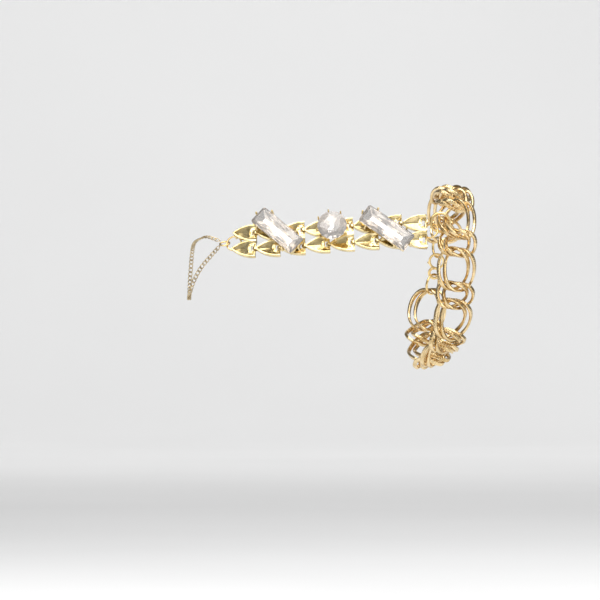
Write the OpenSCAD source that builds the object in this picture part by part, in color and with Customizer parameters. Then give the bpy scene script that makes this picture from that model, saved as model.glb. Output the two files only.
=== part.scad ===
// Hand chain bracelet: a twin link curb chain for the wrist, a row of cast leaf links
// with three set stones over the back of the hand, and a fine curb chain for the finger.
// X runs from the fingers to the elbow, the back of the hand faces -Y, Z is up.
// The origin is on the wrist's axis.

/* [Wrist chain] */
// Length of a long link over its ends
long_link_l = 17.8; // [16:0.1:20]
// Length of a short link over its ends
short_link_l = 11.3; // [10.8:0.1:13]
// Width of a link over its sides
link_w = 12.9; // [11.5:0.1:14.5]
// Thickness of the link wire, seen from the front
link_t = 1.1; // [0.9:0.05:1.25]
// Breadth of the link wire over its outer face
link_b = 1.5; // [1.3:0.05:1.55]
// Turn of a link's ends against its middle, in degrees
link_twist = 36; // [34:1:40]
// Lean of the wire's outer face towards the viewer, in degrees
link_cone = 25; // [20:1:28]
// Play between two hooked links
hook_play = 1.8; // [1.7:0.05:2]
// Sideways offset between the two long links of a pair
long_twin_w = 2.45; // [2.3:0.05:2.6]
// Sideways offset between the two short links of a pair
short_twin_w = 2.5; // [2.4:0.05:2.8]
// Lengthways offset between the two links of a pair
twin_l = 0.45; // [0.3:0.05:0.6]
// Lean of a long pair's links towards each other, in degrees
long_twin_lean = 6; // [5:0.5:8]
// Lean of a short pair's links towards each other, in degrees
short_twin_lean = 12.5; // [11:0.5:14]
// Number of long links, and of short links
pair_count = 8; // [8:1:9]

/* [Clasp] */
// Length of the clasp over its ends
clasp_l = 10.8; // [10.5:0.1:14]
// Width of the clasp at its hook
clasp_w = 6.6; // [6.4:0.1:8]
// Thickness of the clasp
clasp_t = 1.1; // [1:0.1:1.3]
// Outer diameter of the two rings that hold the clasp
clasp_ring_d = 9; // [8.6:0.1:10]
// Wire of the two rings that hold the clasp
clasp_ring_wire = 1; // [0.8:0.05:1.1]

/* [Jump rings] */
// Outer diameter of the ring on the wrist chain
wrist_ring_d = 8.7; // [8.4:0.1:9.4]
// Wire of the ring on the wrist chain
wrist_ring_wire = 1.3; // [1.1:0.05:1.4]
// Outer diameter of the ring on the last leaf link
tail_ring_d = 6.8; // [6.4:0.1:7.4]
// Wire of the ring on the last leaf link
tail_ring_wire = 0.75; // [0.6:0.05:0.8]
// Outer diameter of the ring on the first leaf link
tip_ring_d = 6.6; // [6.2:0.1:6.8]
// Outer diameter of the ring on the finger chain
finger_ring_d = 4.5; // [4.2:0.1:5]
// Wire of the rings on the first leaf link and on the finger chain
fine_ring_wire = 0.7; // [0.6:0.05:0.75]

/* [Leaf links] */
// Number of leaf links in the row
leaf_count = 8; // [8:1:8]
// Length of a leaf from its tip to its tail
leaf_l = 10; // [9.6:0.1:11]
// Width of a leaf at its tail
leaf_w = 7; // [6.6:0.1:7.6]
// Height of a leaf's rim above its back
leaf_h = 2.3; // [2.2:0.05:3]
// Width of the raised rim
rim_w = 0.45; // [0.4:0.05:0.9]
// Depth of the hollow along a leaf's middle
hollow_d = 0.9; // [0.8:0.05:1.4]
// Overlap of a link's two leaves along the middle of the row
leaf_join = 0.2; // [0.1:0.05:0.4]
// Diameter of the bar at a leaf's tail
bar_d = 0.8; // [0.6:0.05:0.9]
// Play of the loop under a leaf's tip on the bar it holds
bar_play = 0.35; // [0.3:0.05:0.4]
// Thickness of the loop under a leaf's tip
loop_t = 0.45; // [0.4:0.05:0.5]
// Breadth of the loop under a leaf's tip
loop_b = 1.1; // [0.8:0.05:1.2]

/* [Stones] */
// Length of a long stone
baguette_l = 22; // [20:0.5:23]
// Width of a long stone
baguette_w = 8; // [7.4:0.1:8.4]
// Height of a long stone from its point to its table
baguette_h = 3.4; // [2.8:0.1:4]
// Diameter of the round stone
round_d = 11.8; // [10:0.1:13]
// Height of the round stone from its point to its table
round_h = 4.2; // [3.4:0.1:5]
// Play of a stone in its setting
stone_play = 0.12; // [0.1:0.01:0.2]
// Wall of a setting
setting_wall = 0.45; // [0.35:0.05:0.6]
// Diameter of a prong
prong_d = 0.9; // [0.7:0.05:1.1]
// Gap between a setting and the leaves it stands over
setting_gap = 0.55; // [0.5:0.05:0.8]

/* [Finger chain] */
// Length of a fine link over its ends
fine_link_l = 2.6; // [2.4:0.05:2.9]
// Width of a fine link
fine_link_w = 1.75; // [1.6:0.05:2]
// Wire of a fine link
fine_wire = 0.38; // [0.3:0.02:0.42]

/* [Hidden] */
// Route of the wrist chain's centre line: down from the clasp behind the wrist,
// under it, up its front and over its top
wrist_route = [
  [-9.7, 27.2, -15.1], [-10.6, 26, -20.3], [-12.2, 24.9, -30.5], [-12.3, 19, -35.8],
  [-11.4, 14.1, -41.6], [-9.1, 5.8, -42.5], [-7.6, -2.4, -40.9], [-3.6, -11.9, -34.8],
  [-0.4, -16.5, -26.6], [-0.6, -21, -16.3], [0.2, -22.1, -6.3], [0.3, -24, 4.9],
  [0.5, -19, 15.6], [-0.6, -11.3, 23.4], [-0.9, 0.5, 26.1], [-2.4, 10.2, 24.3],
  [-2.8, 19.4, 17.8], [-5.2, 24.3, 7.3], [-7.1, 25.1, -3.5]
];
// Roll of the chain about its own line at each of those points, in degrees
wrist_roll = [4, 11, 8.9, 3.4, 7.9, 15.9, 20.6, 17.8, 8, 8, 0, 0, 0, 0, 0, 0, 0, 0, 2];
// Long link that the wrist ring hangs on, counted from the clasp
ring_link = 6;
// Centre of the wrist ring, from the middle of that link
wrist_ring_at = [-6.47, -0.83, -0.48];
// Centre of the tail ring, from the centre of the wrist ring
tail_ring_at = [-3.74, 0.2, -3.38];
// Axes of the two rings
wrist_ring_axis = [-0.04, -1, 0];
tail_ring_axis = [-0.41, -0.81, 0.41];
// Turn of a fine link's ends against its middle, in degrees
fine_twist = 40;
// Middle of the last leaf link's bars, from the centre of the tail ring
row_end_at = [-1.99, -0.83, -0.34];
// Rise of each leaf link along the row, in degrees
row_rise = [1, 2.4, 4.2, 4.4, 4.2, 4, 2.4, 0.2];
// Slant of each leaf link towards the viewer, in degrees
row_slant = [14, 9, 5, 2, 0, -2, -4, -5];
// Lean of each leaf link's face upwards, in degrees
row_lean = [24, 23, 22, 21, 20, 18, 16, 14];
// Turn of the two long stones against the row, in degrees
baguette_turn = [-42, -38];
// Middle of each stone on its leaf link, along the leaf and across the row
baguette_at = [[9.3, 2.4], [3.4, 0.6]];
round_at = [11.5, 2.6];
// Leaf links that carry the long stones and the round one
baguette_links = [2, 7];
round_link = 4;
// Centre of the tip ring along the row, from the tips of the first leaf link
tip_ring_u = 0.3;
// Depth of the tip ring below the leaves' backs
tip_ring_z = -0.65;
// Place of its two eyes round the tip ring, in degrees from the row's line
tip_eye_angle = 71;
// Centre of the finger ring from the centre of the tip ring, in the row's own directions
finger_ring_at = [-3.85, 0, 0];
// Lean of the finger ring's face against the first leaf link's, in degrees
finger_ring_lean = -42;
// Route of the finger chain from its ring round the finger and back
finger_route = [
  [-2.15, -0.3, 1.13], [-3.75, 0.2, 1.7], [-7.2, 2.6, 2.7], [-10, 6.6, 1.9],
  [-12.2, 13, 0.3], [-13.2, 19.5, -2.8], [-13.8, 23.2, -8.6], [-14.2, 23.2, -14],
  [-14.4, 19.4, -19.4], [-14.4, 13, -22.1], [-14, 7, -19.8], [-12.4, 4.6, -15],
  [-9.6, 3.6, -9.8], [-5.6, 2, -5], [-2.1, 0.31, -1.18]
];
// Middle of the finger, from the centre of the finger ring
finger_middle = [-13.4, 13.7, -11];

gold = "gold";
pale = "whitesmoke";
round_fn = 48;
link_sides = 16;
fine_sides = 10;

long_a = (long_link_l - link_t) / 2;
short_a = (short_link_l - link_t) / 2;
link_half_w = (link_w - link_t) / 2;
link_power = 2.6;
overlap = link_t + hook_play;
long_pitch = 2 * long_a - overlap;
short_pitch = 2 * short_a - overlap;
pair_pitch = long_pitch + short_pitch;

function unit(v) = v / norm(v);
function blend(a, b, t) = a + (b - a) * t;
function power(x, p) = sign(x) * pow(abs(x), p);
function turned(v, axis, angle) = v * cos(angle) + cross(axis, v) * sin(angle)
  + axis * (axis * v) * (1 - cos(angle));

// Smooth curve through four neighbouring values, between the second and third
function smooth(a, b, c, d, t) = 0.5 * (2 * b + (c - a) * t
  + (2 * a - 5 * b + 4 * c - d) * t * t + (3 * b - a - 3 * c + d) * t * t * t);

// Closed and open curves as lists of points, a few per stretch
curve_steps = 12;
function closed_curve(p) = let (n = len(p)) [
  for (i = [0 : n - 1]) for (k = [0 : curve_steps - 1])
    smooth(p[(i + n - 1) % n], p[i], p[(i + 1) % n], p[(i + 2) % n], k / curve_steps)
];
function open_curve(p) = let (n = len(p)) [
  for (i = [0 : n - 2]) for (k = [0 : curve_steps - (i == n - 2 ? 0 : 1)])
    smooth(p[max(i - 1, 0)], p[i], p[i + 1], p[min(i + 2, n - 1)], k / curve_steps)
];

// Distance along a list of points, at each of them
function run_lengths(p) = [
  for (i = 0, s = 0; i < len(p); i = i + 1, s = s + (i < len(p) ? norm(p[i] - p[i - 1]) : 0)) s
];
// Point at a distance along a list of points
function along(p, s, at) = let (
    last = len(p) - 1,
    found = [for (i = [0 : last - 1]) if (s[i] <= at && at <= s[i + 1]) i],
    i = len(found) > 0 ? found[0] : (at < 0 ? 0 : last - 1)
  ) blend(p[i], p[i + 1], (at - s[i]) / (s[i + 1] - s[i]));

// Wrist loop scaled so that its links and clasp fill it
clasp_ring_l = clasp_ring_d - clasp_ring_wire;
hook_r = clasp_w / 2;
hook_hole_r = 2.4;
eye_r = 2.6;
eye_hole_r = 1.5;
hook_in = hook_r - hook_hole_r + clasp_ring_wire / 2 + 0.6;
eye_in = eye_r - eye_hole_r + clasp_ring_wire / 2 + 0.6;
clasp_span = 2 * clasp_ring_l + clasp_l - hook_in - eye_in;
loop_l = pair_count * pair_pitch + clasp_span;
raw_loop = let (c = closed_curve(wrist_route)) concat(c, [c[0]]);
raw_l = let (s = run_lengths(raw_loop)) s[len(s) - 1];
loop = raw_loop * (loop_l / raw_l);
loop_s = run_lengths(loop);
roll_loop = let (c = closed_curve(wrist_roll)) concat(c, [c[0]]);

// Joints of the chain: one before each long link, one after it
function joint_at(k) = floor(k / 2) * pair_pitch + (k % 2) * long_pitch;
joints = [for (k = [0 : 2 * pair_count]) along(loop, loop_s, joint_at(k))];
function joint_roll(k) = along(roll_loop, loop_s, joint_at(k));

// Frame as its three axes and its place
function chain_frame(from, to, roll) = let (
    s = unit(to - from),
    n0 = unit(cross([1, 0, 0], s)),
    n = turned(n0, s, roll)
  ) [cross(s, n), n, s, (from + to) / 2];
function link_frame(k) = chain_frame(joints[k], joints[k + 1],
  (joint_roll(k) + joint_roll(k + 1)) / 2);
function in_frame(f, v) = f[0] * v[0] + f[1] * v[1] + f[2] * v[2] + f[3];
module at_frame(f) {
  multmatrix([
    [f[0][0], f[1][0], f[2][0], f[3][0]],
    [f[0][1], f[1][1], f[2][1], f[3][1]],
    [f[0][2], f[1][2], f[2][2], f[3][2]],
    [0, 0, 0, 1]
  ]) children();
}

// Centre line of a curb link: an oval whose two ends are turned against each other
function link_line(a, b, twist, p, angle) = let (
    s = power(sin(angle), 2 / p),
    r = b * power(cos(angle), 2 / p)
  ) [r * cos(twist * s), r * sin(twist * s), a * s];
// Section of its wire as breadth and height, wider at the outer face
function link_section(t, b) = [
  [-0.5 * b, 0.05 * t], [-0.36 * b, 0.5 * t], [0.36 * b, 0.5 * t],
  [0.5 * b, 0.05 * t], [0.36 * b, -0.5 * t], [-0.36 * b, -0.5 * t]
];
function link_ring(a, b, twist, p, section, sides) = [
  for (i = [0 : sides - 1]) let (
    angle = 360 * i / sides,
    c = link_line(a, b, twist, p, angle),
    dir = unit(link_line(a, b, twist, p, angle + 0.5) - link_line(a, b, twist, p, angle - 0.5)),
    turn = twist * power(sin(angle), 2 / p),
    side0 = [-sin(turn), cos(turn), 0],
    flat = unit(side0 - dir * (side0 * dir)),
    cone = link_cone * (1 - pow(sin(angle), 6)),
    side = turned(flat, dir, cone),
    out = cross(side, dir)
  ) for (q = section) c + side * q[0] + out * q[1]
];
// Faces of one closed ring of sections, whose first point has the given number
function ring_faces(sides, k, first = 0) = [
  for (i = [0 : sides - 1]) for (q = [0 : k - 1]) let (
    j = (i + 1) % sides,
    r = (q + 1) % k
  ) each [
    [first + i * k + q, first + i * k + r, first + j * k + r],
    [first + i * k + q, first + j * k + r, first + j * k + q]
  ]
];

// One link of a pair in its place: side is -1 or 1, lean turns it about its width
function twin_points(points, f, side, twin_w, lean) = [
  for (p = points) in_frame(f, [
    p[0] + side * twin_w / 2,
    p[1] * cos(lean * side / 2) - p[2] * sin(lean * side / 2),
    p[1] * sin(lean * side / 2) + p[2] * cos(lean * side / 2) - side * twin_l / 2
  ])
];
module wrist_link(k, side, a, twin_w, lean) {
  section = link_section(link_t, link_b);
  points = link_ring(a, link_half_w, link_twist, link_power, section, link_sides);
  color(gold)
    polyhedron(
      twin_points(points, link_frame(k), side, twin_w, lean),
      ring_faces(link_sides, len(section))
    );
}
module long_link(i, side) {
  wrist_link(2 * i - 2, side, long_a, long_twin_w, long_twin_lean);
}
module short_link(i, side) {
  wrist_link(2 * i - 1, side, short_a, short_twin_w, short_twin_lean);
}

// Round wire ring about an axis
module wire_ring(at, axis, d, wire) {
  side = unit(cross(axis, abs(axis[0]) < 0.9 ? [1, 0, 0] : [0, 0, 1]));
  color(gold)
    at_frame([side, cross(axis, side), axis, at])
      rotate_extrude($fn = round_fn)
        translate([(d - wire) / 2, 0])
          circle(d = wire, $fn = 16);
}
// Straight round rod between two points, with round ends
module rod(from, to, d) {
  s = unit(to - from);
  side = unit(cross(s, abs(s[0]) < 0.9 ? [1, 0, 0] : [0, 1, 0]));
  at_frame([side, cross(s, side), s, from])
    cylinder(h = norm(to - from), d = d, $fn = 16);
  translate(from)
    sphere(d = d, $fn = 16);
  translate(to)
    sphere(d = d, $fn = 16);
}

// Clasp and its two rings, in the chain's run behind the wrist
clasp_from = joint_at(2 * pair_count);
clasp_roll = (wrist_roll[0] + wrist_roll[len(wrist_roll) - 1]) / 2;
function clasp_frame(from, length) = chain_frame(
  along(loop, loop_s, clasp_from + from),
  along(loop, loop_s, clasp_from + from + length), clasp_roll);
module clasp_ring_1() {
  f = clasp_frame(0, clasp_ring_l);
  wire_ring(f[3] + [-0.54, -0.09, 0.45], unit([0.88, 0.47, 0]), clasp_ring_d, clasp_ring_wire);
}
module clasp_ring_2() {
  f = clasp_frame(clasp_span - clasp_ring_l, clasp_ring_l);
  wire_ring(
    f[3] + [0.26, -0.03, -0.24], unit([0.78, -0.6, -0.19]), clasp_ring_d, clasp_ring_wire
  );
}
module clasp() {
  f = clasp_frame(clasp_ring_l - hook_in, clasp_l);
  hook_s = hook_r - clasp_l / 2;
  eye_s = clasp_l / 2 - eye_r;
  color(gold)
    at_frame([f[0], f[2], -f[1], f[3]])
      translate([0, 0, -clasp_t / 2]) {
        difference() {
          linear_extrude(clasp_t)
            union() {
              translate([0, hook_s])
                circle(r = hook_r, $fn = round_fn);
              translate([0, eye_s])
                circle(r = eye_r, $fn = round_fn);
              translate([-1.9, hook_s])
                square([3.8, eye_s - hook_s]);
            }
          translate([0, hook_s, -1])
            cylinder(h = clasp_t + 2, r = hook_hole_r, $fn = round_fn);
          translate([0, eye_s, -1])
            cylinder(h = clasp_t + 2, r = eye_hole_r, $fn = round_fn);
        }
        translate([-hook_r + 0.2, hook_s + 1.2, clasp_t / 2])
          sphere(d = clasp_t * 0.95, $fn = 24);
      }
}

// Wrist ring and tail ring, which hold the row of leaves on the chain
ring_frame = link_frame(2 * ring_link - 2);
wrist_ring_c = in_frame(ring_frame, wrist_ring_at);
tail_ring_c = wrist_ring_c + tail_ring_at;
module wrist_ring() {
  wire_ring(wrist_ring_c, unit(wrist_ring_axis), wrist_ring_d, wrist_ring_wire);
}
module tail_ring() {
  wire_ring(tail_ring_c, unit(tail_ring_axis), tail_ring_d, tail_ring_wire);
}

// Leaf links: joints along the row, from its end on the tail ring back to the finger
bar_u = leaf_l - 0.35;
loop_u = -0.05;
bar_z = 1.2;
leaf_pitch = bar_u - loop_u;
loop_in = bar_d / 2 + bar_play;
loop_out = loop_in + loop_t;
function row_u(k) = [
  cos(row_slant[k]) * cos(row_rise[k]), -sin(row_slant[k]), cos(row_slant[k]) * sin(row_rise[k])
];
function row_joint(k) = k == leaf_count ? tail_ring_c + row_end_at
  : row_joint(k + 1) - row_u(k) * leaf_pitch;
function leaf_frame(i) = let (
    u = row_u(i - 1),
    n = unit(cross(u, [0, sin(row_lean[i - 1]), cos(row_lean[i - 1])]))
  ) [u, cross(n, u), n, row_joint(i) - u * bar_u - n * bar_z];

// Leaf outline: two arcs that meet in its tip, with a straight tail
leaf_wide_u = 9;
leaf_r = (leaf_wide_u * leaf_wide_u + leaf_w * leaf_w / 4) / leaf_w;
leaf_v = (leaf_w - leaf_join) / 2;
patch_u = 9.1;
patch_r = 2.35;
module leaf_outline(inset) {
  intersection() {
    translate([leaf_wide_u, leaf_r - leaf_w / 2])
      circle(r = leaf_r - inset, $fn = 120);
    translate([leaf_wide_u, leaf_w / 2 - leaf_r])
      circle(r = leaf_r - inset, $fn = 120);
    translate([0, -leaf_w])
      square([leaf_l, 2 * leaf_w]);
  }
}
module leaf(hung) {
  groove_w = leaf_w / 2 - rim_w;
  difference() {
    linear_extrude(leaf_h)
      leaf_outline(0);
    // Grooved face inside the rim, up to a round patch at the tail
    difference() {
      intersection() {
        translate([0, 0, 0.1])
          linear_extrude(leaf_h + 1)
            leaf_outline(rim_w);
        rotate([90, 0, 90])
          linear_extrude(leaf_l + 1)
            polygon([
              [-groove_w, leaf_h], [0, leaf_h - hollow_d], [groove_w, leaf_h],
              [groove_w, leaf_h + 2], [-groove_w, leaf_h + 2]
            ]);
      }
      translate([patch_u, 0, 0])
        cylinder(h = leaf_h + 3, r = patch_r, $fn = 48);
    }
    // Patch at the tail, sunk below the rim
    translate([patch_u, 0, leaf_h - 0.4])
      cylinder(h = 2, r = patch_r, $fn = 48);
    // Opening at the tail, for the next leaf's loop
    translate([8.05, -1.15, -1])
      cube([leaf_l, 2.3, leaf_h + 2]);
    translate([9.25, -1.95, -1])
      cube([leaf_l, 3.9, leaf_h + 2]);
    // Hollow back at the tail
    translate([7.6, -2.9, -1])
      cube([leaf_l, 5.8, 1.75]);
    // Room under the tip for the bar that it hangs on
    if (hung)
      translate([loop_u, leaf_w, bar_z])
        rotate([90, 0, 0])
          cylinder(h = 2 * leaf_w, r = loop_in, $fn = 24);
  }
  // Bar across the opening
  translate([bar_u, 2.2, bar_z])
    rotate([90, 0, 0])
      cylinder(h = 4.4, d = bar_d, $fn = 16);
}
module tip_loop() {
  translate([loop_u, loop_b / 2, bar_z])
    rotate([90, 0, 0])
      difference() {
        cylinder(h = loop_b, r = loop_out, $fn = 24);
        translate([0, 0, -1])
          cylinder(h = loop_b + 2, r = loop_in, $fn = 24);
      }
}
// Eye on the first leaf link's tip, for the tip ring
tip_ring_r = (tip_ring_d - fine_ring_wire) / 2;
module tip_eye(side) {
  at = [
    tip_ring_u + tip_ring_r * cos(tip_eye_angle), side * tip_ring_r * sin(tip_eye_angle),
    tip_ring_z
  ];
  translate(at)
    rotate([0, 0, side * (tip_eye_angle - 90)])
      rotate([0, 90, 0])
        difference() {
          cylinder(h = 0.4, r = 0.95, center = true, $fn = 24);
          cylinder(h = 1, r = 0.55, center = true, $fn = 24);
        }
}

// Eye behind the last leaf link's tail, for the tail ring
module tail_eye() {
  translate([9.1, -0.35, -0.45])
    rotate([90, 0, 0])
      rotate_extrude($fn = 24)
        translate([0.9, 0])
          circle(d = 0.44, $fn = 12);
  translate([8.5, -0.65, 0.2])
    cube([1.3, 0.6, 0.9]);
}

// Settings, standing over the leaves on short posts
seat_z = leaf_h + setting_gap;
seat_t = 0.6;
stone_z = seat_z + seat_t + stone_play;
module post(at, d) {
  translate([at[0], at[1], bar_z])
    cylinder(h = seat_z + seat_t / 2 - bar_z, d = d, $fn = 24);
}
module prong(at, out, up, d, reach) {
  foot = concat(at + out * (stone_play + d / 2), [seat_t / 2]);
  knee = [foot[0], foot[1], up];
  rod(foot - concat(out * 1.2, [0]), foot, 0.55);
  rod(foot, knee, d);
  rod(knee, knee + [-out[0] * reach, -out[1] * reach, reach * 0.9], d);
}
module box_setting(at, turn) {
  l = baguette_l - 0.7;
  w = baguette_w - 0.7;
  translate([at[0], at[1], seat_z])
    rotate(turn) {
      difference() {
        translate([-l / 2, -w / 2, 0])
          cube([l, w, 2]);
        translate([setting_wall - l / 2, setting_wall - w / 2, seat_t])
          cube([l - 2 * setting_wall, w - 2 * setting_wall, 3]);
      }
      for (x = [-7.2, 6.6]) for (y = [-1, 1])
        prong([x, y * baguette_w / 2], [0, y], 3.3, prong_d, 0.36);
      for (x = [-1, 1])
        prong([x * baguette_l / 2, 0], [x, 0], 3.3, prong_d, 0.36);
    }
}
module cup_setting(at) {
  r = round_d / 2 + stone_play;
  translate([at[0], at[1], seat_z]) {
    difference() {
      cylinder(h = 2.3, r1 = 4.2, r2 = 5.5, $fn = 32);
      translate([0, 0, seat_t])
        cylinder(h = 1.71, r1 = 1, r2 = 5.05, $fn = 32);
    }
    for (k = [0 : 7])
      rotate(45 * k + 10) {
        translate([4.6, -0.25, 1.1])
          cube([r - 4.2, 0.5, 0.6]);
        translate([r + 0.4, 0, 1.1]) {
          cylinder(h = 2.95, d = 0.62, $fn = 16);
          translate([0, 0, 2.95])
            sphere(d = 0.62, $fn = 16);
        }
      }
  }
}

module leaf_link(i) {
  color(gold)
    at_frame(leaf_frame(i)) {
      for (side = [-1, 1])
        translate([0, side * leaf_v, 0]) {
          leaf(i > 1);
          if (i > 1) tip_loop();
        }
      if (i == 1) {
        tip_eye(-1);
        tip_eye(1);
      }
      if (i == leaf_count) tail_eye();
      translate([6.8, -0.45, 0.3])
        cube([1.8, 0.9, 1.3]);
      if (i == baguette_links[0]) {
        box_setting(baguette_at[0], baguette_turn[0]);
        post([6.9, leaf_v], 1.6);
        post([7.5, 0], 1);
      }
      if (i == baguette_links[1]) {
        box_setting(baguette_at[1], baguette_turn[1]);
        post([6.9, -2.4], 1.6);
        post([7.4, 0], 1);
      }
      if (i == round_link) {
        cup_setting(round_at);
        post([7.2, leaf_v], 1.5);
        post([7.9, 0], 1);
      }
    }
}

// Cut stones: rings of corners from the point up to the table
function box_ring(l, w, c, z) = [
  [l / 2, c - w / 2, z], [l / 2, w / 2 - c, z], [l / 2 - c, w / 2, z], [c - l / 2, w / 2, z],
  [-l / 2, w / 2 - c, z], [-l / 2, c - w / 2, z], [c - l / 2, -w / 2, z], [l / 2 - c, -w / 2, z]
];
function round_ring(d, z, sides) = [
  for (k = [0 : sides - 1]) [d / 2 * cos(360 * k / sides), d / 2 * sin(360 * k / sides), z]
];
module cut_stone(rings) {
  k = len(rings[0]);
  polyhedron(
    [for (r = rings) each r],
    concat(
      [[for (q = [0 : k - 1]) q]],
      [[for (q = [0 : k - 1]) len(rings) * k - 1 - q]],
      [for (i = [0 : len(rings) - 2]) for (q = [0 : k - 1]) let (r = (q + 1) % k)
        [i * k + q, (i + 1) * k + q, (i + 1) * k + r, i * k + r]]
    )
  );
}
module baguette(n) {
  l = baguette_l;
  w = baguette_w;
  h = baguette_h;
  color(pale)
    at_frame(leaf_frame(baguette_links[n]))
      translate([baguette_at[n][0], baguette_at[n][1], stone_z])
        rotate(baguette_turn[n])
          cut_stone([
            box_ring(l - 7, w - 6.4, 0.2, 0),
            box_ring(l - 2.9, w - 2.7, 0.35, h * 0.36),
            box_ring(l, w, 0.6, h * 0.59),
            box_ring(l, w, 0.6, h * 0.67),
            box_ring(l - 1.1, w - 1.1, 0.5, h * 0.84),
            box_ring(l - 2.4, w - 2.4, 0.4, h)
          ]);
}
module round_stone() {
  d = round_d;
  h = round_h;
  color(pale)
    at_frame(leaf_frame(round_link))
      translate([round_at[0], round_at[1], stone_z])
        cut_stone([
          round_ring(1.2, 0, 16),
          round_ring(d * 0.64, h * 0.35, 16),
          round_ring(d, h * 0.63, 16),
          round_ring(d, h * 0.7, 16),
          round_ring(d * 0.82, h * 0.86, 16),
          round_ring(d * 0.58, h, 16)
        ]);
}

// Tip ring, finger ring and finger chain
first_frame = leaf_frame(1);
tip_ring_c = in_frame(first_frame, [tip_ring_u, 0, tip_ring_z]);
finger_ring_c = in_frame(first_frame, [
  tip_ring_u + finger_ring_at[0], finger_ring_at[1], tip_ring_z + finger_ring_at[2]
]);
module tip_ring() {
  wire_ring(tip_ring_c, first_frame[2], tip_ring_d, fine_ring_wire);
}
module finger_ring() {
  axis = turned(first_frame[2], first_frame[0], finger_ring_lean);
  wire_ring(finger_ring_c, axis, finger_ring_d, fine_ring_wire);
}
fine_line = open_curve(finger_route);
fine_s = run_lengths(fine_line);
fine_l = fine_s[len(fine_s) - 1];
fine_count = round(fine_l / (fine_link_l - 2 * fine_wire - 0.16));
fine_pitch = fine_l / fine_count;
function fine_frame(k) = let (
    from = along(fine_line, fine_s, k * fine_pitch),
    to = along(fine_line, fine_s, (k + 1) * fine_pitch),
    mid = (from + to) / 2,
    s = unit(to - from),
    away = [0, mid[1] - finger_middle[1], mid[2] - finger_middle[2]],
    n = unit(away - s * (away * s))
  ) [cross(s, n), n, s, finger_ring_c + mid];
module finger_chain() {
  a = (fine_link_l - fine_wire) / 2;
  b = (fine_link_w - fine_wire) / 2;
  section = [for (q = [0 : 4]) fine_wire / 2 * [cos(72 * q), sin(72 * q)]];
  points = link_ring(a, b, fine_twist, 2.3, section, fine_sides);
  color(gold)
    polyhedron(
      [for (k = [0 : fine_count - 1]) let (f = fine_frame(k)) for (p = points) in_frame(f, p)],
      [for (k = [0 : fine_count - 1]) each ring_faces(fine_sides, 5, k * fine_sides * 5)]
    );
}

LONG_A = [for (i = [1 : pair_count]) str("long_link_", i, "a")];
LONG_B = [for (i = [1 : pair_count]) str("long_link_", i, "b")];
SHORT_A = [for (i = [1 : pair_count]) str("short_link_", i, "a")];
SHORT_B = [for (i = [1 : pair_count]) str("short_link_", i, "b")];
LEAVES = [for (i = [1 : leaf_count]) str("leaf_link_", i)];

for (i = [1 : pair_count]) {
  long_link(i, -1);
  long_link(i, 1);
  short_link(i, -1);
  short_link(i, 1);
}
for (i = [1 : leaf_count]) {
  leaf_link(i);
}
baguette(0);  // baguette_1
baguette(1);  // baguette_2
round_stone();
wrist_ring();
tail_ring();
tip_ring();
finger_ring();
finger_chain();
clasp();
clasp_ring_1();
clasp_ring_2();
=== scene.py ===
import math
import random

import bmesh
import bpy
from mathutils import Matrix, Vector


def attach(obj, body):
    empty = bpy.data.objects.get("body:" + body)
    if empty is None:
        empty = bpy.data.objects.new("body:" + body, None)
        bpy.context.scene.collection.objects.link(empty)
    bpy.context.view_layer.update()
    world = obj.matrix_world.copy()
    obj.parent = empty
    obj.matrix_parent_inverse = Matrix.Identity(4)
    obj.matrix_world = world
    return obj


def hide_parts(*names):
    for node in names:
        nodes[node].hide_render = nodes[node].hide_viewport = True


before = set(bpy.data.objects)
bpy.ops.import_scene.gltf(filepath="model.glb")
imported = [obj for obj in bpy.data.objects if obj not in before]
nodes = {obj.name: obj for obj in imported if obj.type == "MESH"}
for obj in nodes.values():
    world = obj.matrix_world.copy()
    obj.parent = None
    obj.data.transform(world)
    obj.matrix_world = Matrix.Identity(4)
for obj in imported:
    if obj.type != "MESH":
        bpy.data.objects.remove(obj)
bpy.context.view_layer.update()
MM = 0.001

# Wrist chain, in millimetres, with the same sizes as the part
LONG_LINK_L, SHORT_LINK_L, LINK_W = 17.8, 11.3, 12.9
LINK_T, LINK_B = 1.1, 1.5
LINK_TWIST, LINK_CONE, LINK_OVAL = 36, 25, 2.6
HOOK_PLAY, PAIR_COUNT = 1.8, 8
LONG_TWIN_W, SHORT_TWIN_W, TWIN_L = 2.45, 2.5, 0.45
LONG_TWIN_LEAN, SHORT_TWIN_LEAN = 6, 12.5
# The rounded band looks as broad as the part's faceted one when it is this much broader
BAND_EXTRA = 0.1
# Roundness of the band's section: 1 is a round wire, 0 a square bar
BAND_ROUNDNESS, WIRE_ROUNDNESS = 0.42, 1.0
LINK_STEPS, LINK_SIDES = 72, 20

# Route of the wrist chain: down from the clasp behind the wrist, under it, up its front, over its top
WRIST_ROUTE = [
    (-9.7, 27.2, -15.1), (-10.6, 26, -20.3), (-12.2, 24.9, -30.5), (-12.3, 19, -35.8),
    (-11.4, 14.1, -41.6), (-9.1, 5.8, -42.5), (-7.6, -2.4, -40.9), (-3.6, -11.9, -34.8),
    (-0.4, -16.5, -26.6), (-0.6, -21, -16.3), (0.2, -22.1, -6.3), (0.3, -24, 4.9),
    (0.5, -19, 15.6), (-0.6, -11.3, 23.4), (-0.9, 0.5, 26.1), (-2.4, 10.2, 24.3),
    (-2.8, 19.4, 17.8), (-5.2, 24.3, 7.3), (-7.1, 25.1, -3.5),
]
# Roll of the chain about its own line at each of those points, in degrees
WRIST_ROLL = [4, 11, 8.9, 3.4, 7.9, 15.9, 20.6, 17.8, 8, 8, 0, 0, 0, 0, 0, 0, 0, 0, 2]

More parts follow.
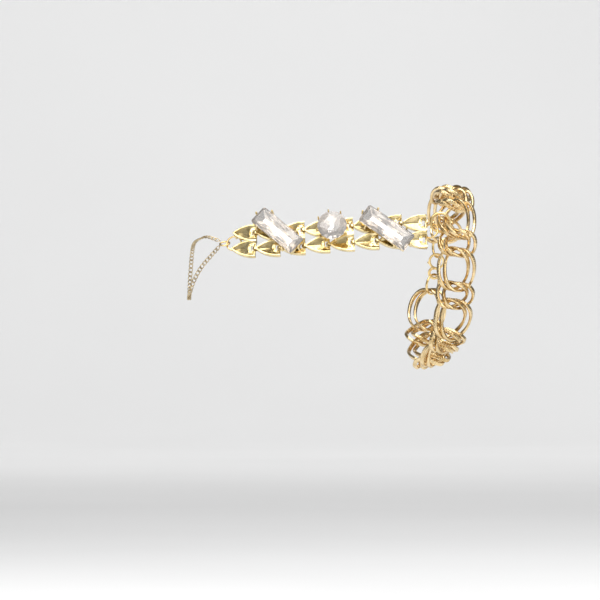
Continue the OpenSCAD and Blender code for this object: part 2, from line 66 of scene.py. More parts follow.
# Clasp and its two rings
CLASP_L, CLASP_RING_D, CLASP_RING_WIRE = 10.8, 9, 1
CLASP_HOOK_WALL, CLASP_EYE_WALL, CLASP_PLAY = 0.9, 1.1, 0.6
CLASP_ROLL = 3
CLASP_RING_AT = [(-0.54, -0.09, 0.45), (0.26, -0.03, -0.24)]
CLASP_RING_AXIS = [(0.88, 0.47, 0), (0.78, -0.6, -0.19)]

# Jump rings, each placed from what it hangs on
RING_STEPS, RING_SIDES = 96, 20
# Joint of the chain before the long link that the wrist ring hangs on
RING_JOINT = 10
WRIST_RING_D, WRIST_RING_WIRE = 8.7, 1.3
WRIST_RING_AT, WRIST_RING_AXIS = (-6.47, -0.83, -0.48), (-0.04, -1, 0)
TAIL_RING_D, TAIL_RING_WIRE = 6.8, 0.75
TAIL_RING_AT, TAIL_RING_AXIS = (-3.74, 0.2, -3.38), (-0.41, -0.81, 0.41)
TIP_RING_D, FINGER_RING_D, FINE_RING_WIRE = 6.6, 4.5, 0.7
TIP_RING_U, TIP_RING_DEPTH = 0.3, 0.65
FINGER_RING_U, FINGER_RING_LEAN = 3.85, -42

# Row of leaf links: rise, slant and lean of each link in degrees, from the finger to the wrist
LEAF_L, LEAF_H, LEAF_COUNT = 10, 2.3, 8
ROW_RISE = [1, 2.4, 4.2, 4.4, 4.2, 4, 2.4, 0.2]
ROW_SLANT = [14, 9, 5, 2, 0, -2, -4, -5]
ROW_LEAN = [24, 23, 22, 21, 20, 18, 16, 14]
ROW_END_AT = (-1.99, -0.83, -0.34)
BAR_INSET, BAR_Z, LEAF_PITCH = 0.35, 1.2, 9.7
CAST_ROUND, CLASP_ROUND = 0.12, 0.15

# Grains on a leaf's round tail patch, clear of the bars' walls and of the tail's edge
GRAIN_COUNT, GRAIN_SEED = 46, 40
GRAIN_R = (0.2, 0.32)
GRAIN_DEPTH, GRAIN_FLATTENED = 0.4, 0.7
PATCH_U, PATCH_V, PATCH_R = 9.1, 3.4, 2.3
TAIL_U, WALL_U, WALL_V, TAIL_WALL_V = 9.75, 7.85, 1.35, 2.1

# Crystals: the leaf link that carries each one, its middle there and its turn
SETTING_GAP, CUP_FLOOR = 0.55, 0.72
BAGUETTE_L, BAGUETTE_W, BAGUETTE_H = 22, 8, 3.4
BAGUETTE_LINKS, BAGUETTE_AT, BAGUETTE_TURN = [2, 7], [(9.3, 2.4), (3.4, 0.6)], [-42, -38]
ROUND_D, ROUND_H, ROUND_LINK, ROUND_AT = 11.8, 4.2, 4, (11.5, 2.6)

# Finger chain
FINE_LINK_L, FINE_LINK_W, FINE_WIRE = 2.6, 1.75, 0.38
FINE_TWIST, FINE_OVAL, FINE_PLAY = 40, 2.3, 0.16
FINE_STEPS, FINE_SIDES = 28, 8
# Route from its ring round the finger and back, and the finger's middle, both from that ring
FINGER_ROUTE = [
    (-2.15, -0.3, 1.13), (-3.75, 0.2, 1.7), (-7.2, 2.6, 2.7), (-10, 6.6, 1.9),
    (-12.2, 13, 0.3), (-13.2, 19.5, -2.8), (-13.8, 23.2, -8.6), (-14.2, 23.2, -14),
    (-14.4, 19.4, -19.4), (-14.4, 13, -22.1), (-14, 7, -19.8), (-12.4, 4.6, -15),
    (-9.6, 3.6, -9.8), (-5.6, 2, -5), (-2.1, 0.31, -1.18),
]
FINGER_MIDDLE = (-13.4, 13.7, -11)

# Floor and wall, in metres
FLOOR_Z, FLOOR_HALF, WALL_Y, WALL_BEND, WALL_H = -0.14, 1.5, 3.2, 0.5, 1.6
BEND_STEPS = 16


# Curves
CURVE_STEPS = 12


def unit(v):
    return v / v.length


def power(x, p):
    """Power that keeps the sign of x."""
    return math.copysign(abs(x) ** p, x)


def turned(v, axis, degrees):
    return Matrix.Rotation(math.radians(degrees), 3, axis) @ v


def smooth(a, b, c, d, t):
    """Smooth curve through four neighbouring values, between the second and the third."""
    return 0.5 * (
        2 * b + (c - a) * t + (2 * a - 5 * b + 4 * c - d) * t * t
        + (3 * b - a - 3 * c + d) * t * t * t
    )


def closed_curve(p):
    n = len(p)
    line = [
        smooth(p[i - 1], p[i], p[(i + 1) % n], p[(i + 2) % n], k / CURVE_STEPS)
        for i in range(n) for k in range(CURVE_STEPS)
    ]
    return line + [line[0]]


def open_curve(p):
    n = len(p)
    line = []
    for i in range(n - 1):
        a, b, c, d = p[max(i - 1, 0)], p[i], p[i + 1], p[min(i + 2, n - 1)]
        line += [smooth(a, b, c, d, k / CURVE_STEPS) for k in range(CURVE_STEPS)]
    return line + [p[-1]]


def run_lengths(line):
    """Distance along a list of points, at each of them."""
    s = [0.0]
    for a, b in zip(line, line[1:]):
        s.append(s[-1] + (b - a).length)
    return s


def along(values, s, at):
    """Value at a distance along a curve with the run lengths s."""
    for i in range(len(s) - 1):
        if at <= s[i + 1]:
            break
    t = (at - s[i]) / (s[i + 1] - s[i])
    return values[i] + (values[i + 1] - values[i]) * t


def place(axes, at):
    """Matrix from a piece's own millimetres to its place, in metres."""
    m = Matrix([list(a) for a in axes]).transposed().to_4x4()
    m.translation = at
    return Matrix.Scale(MM, 4) @ m


# Pitch of the wrist chain, and its route drawn to the length that its links and clasp fill
long_half = (LONG_LINK_L - LINK_T) / 2
short_half = (SHORT_LINK_L - LINK_T) / 2
link_half_w = (LINK_W - LINK_T) / 2
overlap = LINK_T + HOOK_PLAY
long_pitch = 2 * long_half - overlap
pair_pitch = long_pitch + 2 * short_half - overlap
clasp_ring_l = CLASP_RING_D - CLASP_RING_WIRE
hook_in = CLASP_HOOK_WALL + CLASP_RING_WIRE / 2 + CLASP_PLAY
eye_in = CLASP_EYE_WALL + CLASP_RING_WIRE / 2 + CLASP_PLAY
clasp_span = 2 * clasp_ring_l + CLASP_L - hook_in - eye_in
loop_l = PAIR_COUNT * pair_pitch + clasp_span
loop = closed_curve([Vector(p) for p in WRIST_ROUTE])
loop_scale = loop_l / run_lengths(loop)[-1]
loop = [p * loop_scale for p in loop]
loop_s = run_lengths(loop)
roll_loop = closed_curve(WRIST_ROLL)


def chain_frame(start, end, roll):
    """Axes and middle of a link between two joints: width, outward, along the chain."""
    s = unit(end - start)
    n = turned(unit(Vector((1, 0, 0)).cross(s)), s, roll)
    return (s.cross(n), n, s), (start + end) / 2


def link_frame(k):
    at = [(j // 2) * pair_pitch + (j % 2) * long_pitch for j in (k, k + 1)]
    a, b = (along(loop, loop_s, x) for x in at)
    return chain_frame(a, b, sum(along(roll_loop, loop_s, x) for x in at) / 2)


# Materials
def material(name, base, metallic, roughness, **sockets):
    m = bpy.data.materials.new(name)
    m.use_nodes = True
    shader = m.node_tree.nodes["Principled BSDF"]
    shader.inputs["Base Color"].default_value = (*base, 1)
    shader.inputs["Metallic"].default_value = metallic
    shader.inputs["Roughness"].default_value = roughness
    for key, value in sockets.items():
        shader.inputs[key.replace("_", " ")].default_value = value
    return m, m.node_tree, shader


def coordinates(tree, scale, kind="Object"):
    """The piece's own coordinates: at a scale of 1000, one unit is a millimetre."""
    source = tree.nodes.new("ShaderNodeTexCoord")
    mapping = tree.nodes.new("ShaderNodeMapping")
    mapping.inputs["Scale"].default_value = (scale, scale, scale)
    tree.links.new(source.outputs[kind], mapping.inputs["Vector"])
    return mapping.outputs["Vector"]


def cloud(tree, vector, scale, detail=3.0):
    """Soft irregular patches from 0 to 1."""
    n = tree.nodes.new("ShaderNodeTexNoise")
    n.inputs["Scale"].default_value = scale
    n.inputs["Detail"].default_value = detail
    tree.links.new(vector, n.inputs["Vector"])
    return n.outputs["Fac"]


def ramp(tree, value, low, high, start=0.0, end=1.0):
    """A value that goes from low to high while the input goes from start to end."""
    r = tree.nodes.new("ShaderNodeMapRange")
    for key, v in (("From Min", start), ("From Max", end), ("To Min", low), ("To Max", high)):
        r.inputs[key].default_value = v
    tree.links.new(value, r.inputs["Value"])
    return r.outputs["Result"]


def blended(tree, value, dark, light, start, end):
    """A colour that goes from dark to light while the input goes from start to end."""
    r = tree.nodes.new("ShaderNodeValToRGB")
    r.color_ramp.elements[0].position = start
    r.color_ramp.elements[0].color = (*dark, 1)
    r.color_ramp.elements[1].position = end
    r.color_ramp.elements[1].color = (*light, 1)
    tree.links.new(value, r.inputs["Fac"])
    return r.outputs["Color"]


def bumped(tree, shader, height, distance, strength):
    b = tree.nodes.new("ShaderNodeBump")
    b.inputs["Distance"].default_value = distance
    b.inputs["Strength"].default_value = strength
    tree.links.new(height, b.inputs["Height"])
    tree.links.new(b.outputs["Normal"], shader.inputs["Normal"])


def math_node(tree, operation, a, b):
    n = tree.nodes.new("ShaderNodeMath")
    n.operation = operation
    for socket, value in zip(n.inputs, (a, b)):
        if isinstance(value, (int, float)):
            socket.default_value = value
        else:
            tree.links.new(value, socket)
    return n.outputs[0]


PER_MM = 1000
# Patches of tone, grains of the plate and worn places, per millimetre
CAST_TONES, LINK_TONES, PLATE_GRAIN, WORN_PLACES = 0.35, 0.3, 2.4, 1.1
# Part of the patches over which the dark tone turns into the light one
TONE_START, TONE_END = 0.3, 0.62
# Spacing of the knurl's cuts along the band, in millimetres, and its depth, in metres
KNURL_PITCH, KNURL_DEPTH, KNURL_STRENGTH = 0.75, 0.00006, 0.7
# Distance from the band's middle line where the knurl starts to fade and where it ends
KNURL_FADE, KNURL_EDGE = 0.5, 0.72
PLATE_DEPTH = 0.00002


def plated_gold(name, dark, light, rough, grain):
    """Gold plate with slow changes of colour and polish, and a faint uneven surface."""
    m, tree, shader = material(name, light, 1.0, rough)
    vector = coordinates(tree, PER_MM)
    tones = cloud(tree, vector, CAST_TONES)
    colour = blended(tree, tones, dark, light, TONE_START, TONE_END)
    tree.links.new(colour, shader.inputs["Base Color"])
    fine = cloud(tree, vector, PLATE_GRAIN, 5.0)
    polish = ramp(tree, fine, rough * 0.7, rough * 1.6, 0.3, 0.7)
    tree.links.new(polish, shader.inputs["Roughness"])
    bumped(tree, shader, fine, PLATE_DEPTH, grain)
    return m


def knurled_gold(name, dark, light, rough):
    """Gold plate with a fine diamond knurl on the outer face. The map "wire" runs along the band."""
    m, tree, shader = material(name, light, 1.0, rough)
    vector = coordinates(tree, PER_MM)
    tones = cloud(tree, vector, LINK_TONES)
    colour = blended(tree, tones, dark, light, TONE_START, TONE_END)
    tree.links.new(colour, shader.inputs["Base Color"])
    worn = cloud(tree, vector, WORN_PLACES, 4.0)
    polish = ramp(tree, worn, rough * 0.75, rough * 1.5, 0.3, 0.7)
    tree.links.new(polish, shader.inputs["Roughness"])
    parts = tree.nodes.new("ShaderNodeSeparateXYZ")
    tree.links.new(coordinates(tree, 1, "UV"), parts.inputs["Vector"])
    u, v = parts.outputs["X"], parts.outputs["Y"]
    cut = 2 * math.pi / KNURL_PITCH
    rising = math_node(tree, "MULTIPLY", math_node(tree, "ADD", u, v), cut)
    falling = math_node(tree, "MULTIPLY", math_node(tree, "SUBTRACT", u, v), cut)
    ridges = [math_node(tree, "SINE", lines, 0) for lines in (rising, falling)]
    diamonds = math_node(tree, "MAXIMUM", *ridges)
    outer = ramp(tree, math_node(tree, "ABSOLUTE", v, 0), 1.0, 0.0, KNURL_FADE, KNURL_EDGE)
    kept = ramp(tree, worn, 0.5, 1.0, 0.35, 0.6)
    height = math_node(tree, "MULTIPLY", math_node(tree, "MULTIPLY", diamonds, outer), kept)
    bumped(tree, shader, height, KNURL_DEPTH, KNURL_STRENGTH)
    return m


link_gold = knurled_gold("link_gold_plate", (0.56, 0.39, 0.17), (0.86, 0.68, 0.40), 0.16)
cast_gold = plated_gold("cast_gold_plate", (0.56, 0.43, 0.18), (0.86, 0.70, 0.38), 0.18, 0.5)
wire_gold = plated_gold("wire_gold_plate", (0.74, 0.52, 0.22), (0.88, 0.68, 0.34), 0.16, 0.25)
# Painted shade: the finger chain is the same gold plate as the other links, made darker and duller
# here to stand in for the shade around its fine links
shaded_fine_gold = plated_gold("fine_chain_gold_plate_painted_shade", (0.33, 0.25, 0.13), (0.66, 0.54, 0.34), 0.2, 0.3)
setting_gold = plated_gold("setting_gold_plate", (0.66, 0.44, 0.11), (0.9, 0.66, 0.22), 0.14, 0.2)

CRYSTAL_IOR, HAZE_PATCHES, SILVER_PATCHES = 1.55, 0.25, 0.5
HAZE_DARK, HAZE_LIGHT = (0.93, 0.89, 0.85), (0.99, 0.97, 0.95)


def cut_crystal(name, clear):
    """Clear crystal with a trace of haze, so that its facets stay bright."""
    m, tree, shader = material(
        name, (0.98, 0.98, 1.0), 0.0, 0.02, IOR=CRYSTAL_IOR, Transmission_Weight=clear
    )
    haze = cloud(tree, coordinates(tree, PER_MM), HAZE_PATCHES)
    colour = blended(tree, haze, HAZE_DARK, HAZE_LIGHT, 0.3, 0.6)
    tree.links.new(colour, shader.inputs["Base Color"])
    tree.links.new(ramp(tree, haze, 0.0, 0.03, 0.35, 0.7), shader.inputs["Roughness"])
    return m


def silvering(name, dark, light):
    """Silvered back of a crystal, slightly uneven."""
    m, tree, shader = material(name, light, 1.0, 0.3)
    patches = cloud(tree, coordinates(tree, PER_MM), SILVER_PATCHES)
    tree.links.new(blended(tree, patches, dark, light, 0.35, 0.6), shader.inputs["Base Color"])
    tree.links.new(ramp(tree, patches, 0.08, 0.2, 0.35, 0.7), shader.inputs["Roughness"])
    return m


long_crystal = cut_crystal("long_crystal_glass", 0.8)
long_foil = silvering("long_crystal_silvering", (0.62, 0.56, 0.50), (0.82, 0.76, 0.69))
round_crystal = cut_crystal("round_crystal_glass", 0.78)
round_foil = silvering("round_crystal_silvering", (0.95, 0.89, 0.83), (1.0, 0.96, 0.92))


# Making pieces
def finished(name, bm, at, materials, replaced=(), smooth_faces=True):
    """The mesh, moved to its place, as a piece that stands for its nodes."""
    bmesh.ops.recalc_face_normals(bm, faces=bm.faces)
    bmesh.ops.transform(bm, matrix=at, verts=bm.verts)
    mesh = bpy.data.meshes.new(name)
    for f in bm.faces:
        f.smooth = smooth_faces
    bm.to_mesh(mesh)
    bm.free()
    for m in materials:
        mesh.materials.append(m)
    piece = bpy.data.objects.new(name, mesh)
    bpy.context.scene.collection.objects.link(piece)
    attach(piece, "root")
    if replaced:
        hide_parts(*replaced)


def wire_torus(bm, radius, wire_r, steps, sides):
    """A round wire spun into a ring about Z."""
    verts = bmesh.ops.create_circle(bm, segments=sides, radius=wire_r)["verts"]
    upright = Matrix.Translation((radius, 0, 0)) @ Matrix.Rotation(math.pi / 2, 4, "X")
    bmesh.ops.transform(bm, matrix=upright, verts=verts)
    edges = list({e for v in verts for e in v.link_edges})
    bmesh.ops.spin(
        bm, geom=verts + edges, cent=(0, 0, 0), axis=(0, 0, 1), angle=2 * math.pi,
        steps=steps, use_merge=True,
    )


# Radius of the plain ring that a curb link is drawn from
PLAIN_RING_R = 20.0
# Step for the direction of a link's centre line, and how fast the band's lean fades at its ends
RUN_STEP, LEAN_FADE = 0.01, 6
# Part of the band's breadth that the map gives to one radian round its section
MAP_ACROSS = 3


def curb_point(half_l, half_w, twist, oval, angle):
    """Centre line of a curb link: an oval whose ends are turned against each other."""
    s = power(math.sin(angle), 2 / oval)
    r = half_w * power(math.cos(angle), 2 / oval)
    t = math.radians(twist) * s
    return Vector((r * math.cos(t), r * math.sin(t), half_l * s))


def near(angle, other):
    """The angle, moved by whole turns to within half a turn of the other."""
    while angle - other > math.pi:
        angle -= 2 * math.pi
    while other - angle > math.pi:
        angle += 2 * math.pi
    return angle


def curb_ring(bm, half_l, half_w, twist, oval, cone, thick, broad, roundness, steps, sides):
    """A curb link: a wire spun into a ring, then drawn into a twisted oval band."""
    wire_torus(bm, PLAIN_RING_R, 1.0, steps, sides)
    wire_map = bm.loops.layers.uv.new("wire")
    spots = {}
    for v in bm.verts:
        out = math.hypot(v.co.x, v.co.y) - PLAIN_RING_R
        spots[v] = math.atan2(v.co.y, v.co.x), math.atan2(out, v.co.z)
    for v, (angle, section) in spots.items():
        c, ahead, behind = (
            curb_point(half_l, half_w, twist, oval, angle + step)
            for step in (0, RUN_STEP, -RUN_STEP)
        )
        run = unit(ahead - behind)
        turn = math.radians(twist) * power(math.sin(angle), 2 / oval)
        side = Vector((-math.sin(turn), math.cos(turn), 0))
        side = unit(side - run * side.dot(run))
        side = turned(side, run, cone * (1 - math.sin(angle) ** LEAN_FADE))
        across = broad / 2 * power(math.cos(section), roundness)
        height = thick / 2 * power(math.sin(section), roundness)
        v.co = c + side * across + side.cross(run) * height
    mean_r = (half_l + half_w) / 2
    for f in bm.faces:
        first = spots[f.verts[0]][0]
        for corner in f.loops:
            angle, section = spots[corner.vert]
            # The outer face's middle is 0 across the band
            across = section - math.pi / 2
            if across < -math.pi:
                across += 2 * math.pi
            corner[wire_map].uv = near(angle, first) * mean_r, across * broad / MAP_ACROSS


def wrist_link(name, k, side, half_l, twin_w, lean):
    """One link of a pair: side is -1 or 1 across the chain."""
    bm = bmesh.new()
    curb_ring(
        bm, half_l, link_half_w, LINK_TWIST, LINK_OVAL, LINK_CONE, LINK_T, LINK_B + BAND_EXTRA,
        BAND_ROUNDNESS, LINK_STEPS, LINK_SIDES,
    )
    axes, middle = link_frame(k)
    tilt = Matrix.Rotation(math.radians(lean * side / 2), 4, "X")
    shift = Matrix.Translation((side * twin_w / 2, 0, -side * TWIN_L / 2))
    at = place(axes, middle) @ shift @ tilt
    finished(name + "_ring", bm, at, [link_gold], [name])


for i in range(PAIR_COUNT):
    for letter, side in (("a", -1), ("b", 1)):
        number = f"{i + 1}{letter}"
        wrist_link("long_link_" + number, 2 * i, side, long_half, LONG_TWIN_W, LONG_TWIN_LEAN)
        wrist_link("short_link_" + number, 2 * i + 1, side, short_half, SHORT_TWIN_W, SHORT_TWIN_LEAN)


def row_frames(start):
    """Axes and place of each leaf link, counted back from the tail ring."""
    frames = {}
    joint = start
    for i in range(LEAF_COUNT, 0, -1):
        rise, slant, lean = (math.radians(x[i - 1]) for x in (ROW_RISE, ROW_SLANT, ROW_LEAN))
        flat = math.cos(slant)
        u = Vector((flat * math.cos(rise), -math.sin(slant), flat * math.sin(rise)))
        joint = joint - u * LEAF_PITCH
        n = unit(u.cross(Vector((0, math.sin(lean), math.cos(lean)))))
        origin = joint + u * LEAF_PITCH - u * (LEAF_L - BAR_INSET) - n * BAR_Z
        frames[i] = (u, n.cross(u), n), origin
    return frames


ring_axes, ring_middle = link_frame(RING_JOINT)
wrist_ring_c = ring_middle
for axis, distance in zip(ring_axes, WRIST_RING_AT):
    wrist_ring_c = wrist_ring_c + axis * distance
tail_ring_c = wrist_ring_c + Vector(TAIL_RING_AT)
leaf_frames = row_frames(tail_ring_c + Vector(ROW_END_AT))
(first_u, _, first_n), first_at = leaf_frames[1]
tip_ring_c = first_at + first_u * TIP_RING_U - first_n * TIP_RING_DEPTH
finger_ring_c = tip_ring_c - first_u * FINGER_RING_U


# Rings
def jump_ring(name, at, axis, d, wire):
    axis = unit(Vector(axis))
    side = unit(axis.cross(Vector((1, 0, 0)) if abs(axis.x) < 0.9 else Vector((0, 0, 1))))
    bm = bmesh.new()
    wire_torus(bm, (d - wire) / 2, wire / 2, RING_STEPS, RING_SIDES)
    at = place((side, axis.cross(side), axis), at)
    finished(name + "_wire", bm, at, [wire_gold], [name])


def clasp_ring(number, start):
    """Ring between the chain and the clasp, a distance after the last short link."""
    at = PAIR_COUNT * pair_pitch + start
    ends = along(loop, loop_s, at), along(loop, loop_s, at + clasp_ring_l)
    _, middle = chain_frame(*ends, CLASP_ROLL)
    at, axis = middle + Vector(CLASP_RING_AT[number - 1]), CLASP_RING_AXIS[number - 1]
    jump_ring(f"clasp_ring_{number}", at, axis, CLASP_RING_D, CLASP_RING_WIRE)


finger_ring_axis = turned(first_n, first_u, FINGER_RING_LEAN)
jump_ring("wrist_ring", wrist_ring_c, WRIST_RING_AXIS, WRIST_RING_D, WRIST_RING_WIRE)
jump_ring("tail_ring", tail_ring_c, TAIL_RING_AXIS, TAIL_RING_D, TAIL_RING_WIRE)
jump_ring("tip_ring", tip_ring_c, first_n, TIP_RING_D, FINE_RING_WIRE)
jump_ring("finger_ring", finger_ring_c, finger_ring_axis, FINGER_RING_D, FINE_RING_WIRE)
clasp_ring(1, 0)
clasp_ring(2, clasp_span - clasp_ring_l)


# Finger chain
def fine_link(a, b):
    """One fine link between two points, its outer face away from the finger."""
    s = unit(b - a)
    away = (a + b) / 2 - Vector(FINGER_MIDDLE)
    away.x = 0
    n = unit(away - s * away.dot(s))
    bm = bmesh.new()
    curb_ring(
        bm, (FINE_LINK_L - FINE_WIRE) / 2, (FINE_LINK_W - FINE_WIRE) / 2, FINE_TWIST, FINE_OVAL,
        LINK_CONE, FINE_WIRE, FINE_WIRE, WIRE_ROUNDNESS, FINE_STEPS, FINE_SIDES,
    )
    at = place((s.cross(n), n, s), finger_ring_c + (a + b) / 2)
    bmesh.ops.transform(bm, matrix=at, verts=bm.verts)
    return bm


def finger_chain():
    line = open_curve([Vector(p) for p in FINGER_ROUTE])
    s = run_lengths(line)
    count = round(s[-1] / (FINE_LINK_L - 2 * FINE_WIRE - FINE_PLAY))
    pitch = s[-1] / count
    whole = bmesh.new()
    whole.loops.layers.uv.new("wire")
    mesh = bpy.data.meshes.new("fine_link")
    for k in range(count):
        bm = fine_link(along(line, s, k * pitch), along(line, s, (k + 1) * pitch))
        bm.to_mesh(mesh)
        bm.free()
        whole.from_mesh(mesh)
    bpy.data.meshes.remove(mesh)
    finished(
        "finger_chain_links", whole, Matrix.Identity(4), [shaded_fine_gold], ["finger_chain"]
    )


finger_chain()

# Crystals. A level of a long stone: what its length and width lose, its cut corner,
# its height as a share, how far its side facets step in, and their shift along it
BAGUETTE_LEVELS = [
    (7, 6.4, 0.2, 0.0, 0.0, 0.0), (2.9, 2.7, 0.35, 0.36, 0.7, 0.3),
    (0, 0, 0.6, 0.59, 0.0, 0.0), (0, 0, 0.6, 0.67, 0.0, 0.0),
    (1.1, 1.1, 0.5, 0.84, 0.0, 0.0), (2.4, 2.4, 0.4, 1.0, 0.0, 0.0),
]
SIDE_CUTS, STEP_RISE = 4, 0.3
# A level of the round stone: its diameter and height as shares, its corners and their turn
CULET_D = 1.2
ROUND_LEVELS = [
    (0.64, 0.35, 16, 0.5), (1.0, 0.63, 16, 0.0), (1.0, 0.7, 16, 0.0),
    (0.82, 0.86, 16, 0.5), (0.58, 1.0, 8, 0.5),
]
# Height that parts a stone's silvered belly from its clear crown, as a share
BAGUETTE_GIRDLE, ROUND_GIRDLE = 0.6, 0.64


def stone(name, rings, leaf, at, turn, girdle_z, glass, foil):
    """A cut stone: rings of corners joined into facets, clear above its girdle, silvered below."""
    bm = bmesh.new()
    edges = []
    for points in rings:
        verts = [bm.verts.new(p) for p in points]
        edges.append([bm.edges.new((verts[i - 1], verts[i])) for i in range(len(verts))])
    for low, high in zip(edges, edges[1:]):
        bmesh.ops.bridge_loops(bm, edges=low + high)
    for end in (edges[0], edges[-1]):
        bmesh.ops.contextual_create(bm, geom=end)
    bmesh.ops.recalc_face_normals(bm, faces=bm.faces)
    for f in bm.faces:
        f.material_index = 1 if f.calc_center_median().z < girdle_z else 0
    axes, origin = leaf_frames[leaf]
    seat = Matrix.Translation((*at, LEAF_H + SETTING_GAP + CUP_FLOOR))
    to_place = place(axes, origin) @ seat @ Matrix.Rotation(math.radians(turn), 4, "Z")
    finished(name + "_facets", bm, to_place, [glass, foil], [name], smooth_faces=False)


def long_outline(l, w, c, z, step, shift):
    """An oblong with cut corners, its long sides broken into facets that step in and out."""
    l, w = l / 2, w / 2
    side = []
    for k in range(1, SIDE_CUTS):
        x = (l - c) - 2 * (l - c) * (k + shift) / SIDE_CUTS
        side.append((x, w - step * (k % 2), z + step * STEP_RISE * (k % 2)))
    top = [(l - c, w, z), *side, (c - l, w, z)]
    half = [(l, c - w, z), (l, w - c, z), *top]
    return [*half, (-l, w - c, z), (-l, c - w, z), *((-x, -y, h) for x, y, h in top)]


def round_outline(d, z, corners, turn=0.0):
    angles = [2 * math.pi * (k + turn) / corners for k in range(corners)]
    return [(d / 2 * math.cos(a), d / 2 * math.sin(a), z) for a in angles]


def baguette(number):
    name = f"baguette_{number}"
    rings = [
        long_outline(BAGUETTE_L - less_l, BAGUETTE_W - less_w, corner, BAGUETTE_H * z, step, shift)
        for less_l, less_w, corner, z, step, shift in BAGUETTE_LEVELS
    ]
    leaf, at, turn = (x[number - 1] for x in (BAGUETTE_LINKS, BAGUETTE_AT, BAGUETTE_TURN))
    stone(name, rings, leaf, at, turn, BAGUETTE_H * BAGUETTE_GIRDLE, long_crystal, long_foil)


def round_stone():
    rings = [round_outline(CULET_D, 0, 16)]
    for d, z, corners, turn in ROUND_LEVELS:
        rings.append(round_outline(ROUND_D * d, ROUND_H * z, corners, turn))
    girdle_z = ROUND_H * ROUND_GIRDLE
    stone("round_stone", rings, ROUND_LINK, ROUND_AT, 0, girdle_z, round_crystal, round_foil)


baguette(1)
baguette(2)
round_stone()

# Leaves and clasp: the nodes' own shapes, with edges sharper than this rounded, in degrees
SHARP_EDGE, CREASE, FLAT = 30, 38, 1
MERGE_DISTANCE = 0.000002


def bends(edge, degrees):
    return len(edge.link_faces) == 2 and edge.calc_face_angle(0) > math.radians(degrees)


def rounded_node(node, mat, width):
    bm = bmesh.new()
    bm.from_mesh(nodes[node].data)
    bmesh.ops.remove_doubles(bm, verts=bm.verts, dist=MERGE_DISTANCE)
    bmesh.ops.dissolve_limit(
        bm, angle_limit=math.radians(FLAT), verts=bm.verts, edges=bm.edges
    )
    bmesh.ops.bevel(
        bm, geom=[e for e in bm.edges if bends(e, SHARP_EDGE)], offset=width * MM,
        offset_type="OFFSET", affect="EDGES", segments=2, profile=0.5, material=-1,
        clamp_overlap=True,
    )
    bmesh.ops.triangulate(bm, faces=[f for f in bm.faces if len(f.verts) > 4])
    for e in bm.edges:
        e.smooth = not bends(e, CREASE)
    finished(node + "_cast", bm, Matrix.Identity(4), [mat], [node])


for i in range(1, LEAF_COUNT + 1):
    rounded_node(f"leaf_link_{i}", cast_gold, CAST_ROUND)
rounded_node("clasp", wire_gold, CLASP_ROUND)


def off_patch(u, v):
    """Whether a grain would lie past the leaf's tail or on the walls beside the bar."""
    past_tail = u > TAIL_U
    on_bar_wall = u > WALL_U and abs(v) < WALL_V
    on_tail_wall = u > PATCH_U and abs(v) < TAIL_WALL_V
    return past_tail or on_bar_wall or on_tail_wall


def tail_grains(i):
    """Grains scattered over the round patches at the tails of a link's two leaves."""
    rng = random.Random(GRAIN_SEED + i)
    bm = bmesh.new()
    axes, origin = leaf_frames[i]
    flattened = Matrix.Diagonal((1, 1, GRAIN_FLATTENED, 1))
    for side in (-1, 1):
        for _ in range(GRAIN_COUNT):
            turn, out = rng.uniform(0, 2 * math.pi), PATCH_R * math.sqrt(rng.random())
            u, v = PATCH_U + out * math.cos(turn), out * math.sin(turn)
            if off_patch(u, v):
                continue
            at = Matrix.Translation((u, v + side * PATCH_V, LEAF_H - GRAIN_DEPTH))
            bmesh.ops.create_icosphere(
                bm, subdivisions=1, radius=rng.uniform(*GRAIN_R), matrix=at @ flattened
            )
    finished(f"leaf_grains_{i}", bm, place(axes, origin), [setting_gold])


for i in range(1, LEAF_COUNT + 1):
    tail_grains(i)


# Floor, light and camera
def paper():
    m, tree, shader = material("pale_paper", (0.9, 0.9, 0.9), 0.0, 0.9)
    mottle = cloud(tree, coordinates(tree, 1), 2.0)
    colour = blended(tree, mottle, (0.88, 0.88, 0.88), (0.92, 0.92, 0.92), 0.3, 0.7)
    tree.links.new(colour, shader.inputs["Base Color"])
    return m


def parts(geom, kind):
    return [g for g in geom if isinstance(g, kind)]


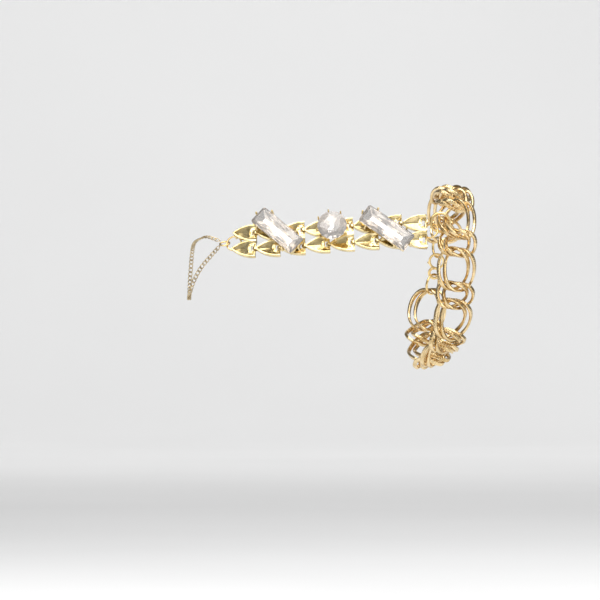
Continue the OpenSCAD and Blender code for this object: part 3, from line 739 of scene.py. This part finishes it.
def sweep():
    """Pale floor that curves up into a wall far behind the object."""
    bm = bmesh.new()
    front = [bm.verts.new((x, -FLOOR_HALF, FLOOR_Z)) for x in (-FLOOR_HALF, FLOOR_HALF)]
    out = bmesh.ops.extrude_edge_only(bm, edges=[bm.edges.new(front)])
    moved = parts(out["geom"], bmesh.types.BMVert)
    bend_y = WALL_Y - WALL_BEND
    bmesh.ops.translate(bm, verts=moved, vec=(0, bend_y + FLOOR_HALF, 0))
    back = [e for e in parts(out["geom"], bmesh.types.BMEdge) if all(v in moved for v in e.verts)]
    spun = bmesh.ops.spin(
        bm, geom=back + moved, cent=(0, bend_y, FLOOR_Z + WALL_BEND), axis=(1, 0, 0),
        angle=math.pi / 2, steps=BEND_STEPS,
    )
    last = parts(spun["geom_last"], bmesh.types.BMEdge)
    out = bmesh.ops.extrude_edge_only(bm, edges=last)
    bmesh.ops.translate(bm, verts=parts(out["geom"], bmesh.types.BMVert), vec=(0, 0, WALL_H))
    mesh = bpy.data.meshes.new("sweep")
    for f in bm.faces:
        f.smooth = True
    bm.to_mesh(mesh)
    bm.free()
    mesh.materials.append(paper())
    floor = bpy.data.objects.new("floor_sweep", mesh)
    bpy.context.scene.collection.objects.link(floor)


def softbox(name, at, size, watts, target=(-0.05, 0, 0)):
    """A soft rectangular light, aimed at the object unless a target is given."""
    light = bpy.data.lights.new(name, "AREA")
    light.shape = "RECTANGLE"
    light.size, light.size_y = size
    light.energy = watts
    o = bpy.data.objects.new(name, light)
    o.location = at
    o.rotation_euler = (Vector(target) - Vector(at)).to_track_quat("-Z", "Y").to_euler()
    bpy.context.scene.collection.objects.link(o)


sweep()
softbox("key_light", (-0.3, -0.8, 0.68), (1.3, 0.5), 7)
softbox("top_light", (0.1, -0.1, 0.95), (1.5, 0.8), 11)
softbox("side_light", (0.85, -0.55, 0.3), (0.5, 0.8), 2.5)
softbox("front_fill", (0.0, -1.3, -0.05), (2.0, 0.7), 1.3)
softbox("wall_light", (0.0, 1.9, 1.6), (2.0, 0.6), 22, (0, WALL_Y, 0.2))

world = bpy.data.worlds.new("studio")
bpy.context.scene.world = world
world.use_nodes = True
world.node_tree.nodes["Background"].inputs["Color"].default_value = (1, 1, 1, 1)
world.node_tree.nodes["Background"].inputs["Strength"].default_value = 0.2
bpy.context.scene.view_settings.view_transform = "Standard"

camera_data = bpy.data.cameras.new("camera")
camera_data.sensor_width = 36
camera_data.lens = 360
camera_data.clip_end = 10
camera = bpy.data.objects.new("camera", camera_data)
camera.location = (-0.062, -2.4, -0.0176)
camera.rotation_euler = (math.pi / 2, 0, 0)
bpy.context.scene.collection.objects.link(camera)
bpy.context.scene.camera = camera

bpy.context.view_layer.update()
